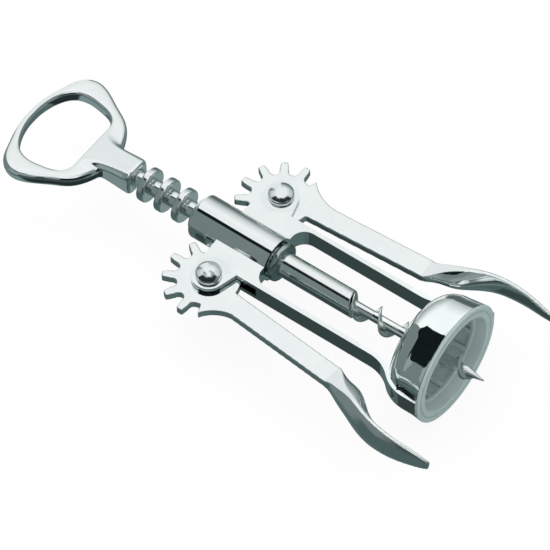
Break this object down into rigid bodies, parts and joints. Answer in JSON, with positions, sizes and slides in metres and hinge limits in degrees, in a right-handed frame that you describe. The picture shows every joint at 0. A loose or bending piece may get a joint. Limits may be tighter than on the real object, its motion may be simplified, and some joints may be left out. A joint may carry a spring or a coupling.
{
  "type": "wing corkscrew",
  "caption": "Wing corkscrew: toothed levers on a slotted barrel raise a ringed rack shaft with a worm; bell mouth with plastic liner, opener ring handle.",
  "frame": {"origin": "centre of the liner's front rim, where the mouth sits on a bottle", "axes": "+X out of the mouth along the worm, away from the handle; +Y across the two levers, towards the right lever; +Z square to the plane that the levers swing in"},
  "size_m": [0.1584, 0.0632, 0.0356],
  "materials": {
    "chromed_casting": "bright chrome on a cast frame",
    "chromed_bell": "bright chrome on pressed sheet",
    "chromed_lever": "bright chrome",
    "chromed_handle": "bright chrome on a casting",
    "chromed_shaft": "bright chrome on turned steel",
    "chromed_rivet": "bright chrome dome",
    "worm_steel": "plated steel, cast lines left on",
    "liner_plastic": "frosted, slightly see-through plastic"
  },
  "bodies": {
    "frame": {"frame": "chromed_casting", "bell": "chromed_bell", "bottle_liner": "liner_plastic", "right_rivet": "chromed_rivet", "left_rivet": "chromed_rivet"},
    "carriage": {"stop_collar": "chromed_shaft"},
    "screw": {"rack_shaft": "chromed_shaft", "worm": "worm_steel", "opener_handle": "chromed_handle"},
    "right_lever": {"right_lever": "chromed_lever"},
    "left_lever": {"left_lever": "chromed_lever"}
  },
  "joints": [
    {"name": "rack_slide", "type": "slide", "parent": "frame", "child": "carriage", "axis": [1, 0, 0], "range_m": [0, 0.0205]},
    {"name": "handle_turn", "type": "hinge", "parent": "carriage", "child": "screw", "pos_m": [-0.0568, 0, 0], "axis": [1, 0, 0], "continuous": true},
    {"name": "right_wing", "type": "hinge", "parent": "frame", "child": "right_lever", "pos_m": [-0.07, 0.01645, 0], "axis": [0, 0, 1], "range_deg": [0, 103.5]},
    {"name": "left_wing", "type": "hinge", "parent": "frame", "child": "left_lever", "pos_m": [-0.07, -0.01645, 0], "axis": [0, 0, 1], "range_deg": [-103.5, 0]}
  ],
  "couplings": [
    {"joint": "right_wing", "follows": "rack_slide", "rad_per_m": 88},
    {"joint": "left_wing", "follows": "rack_slide", "rad_per_m": -88}
  ]
}
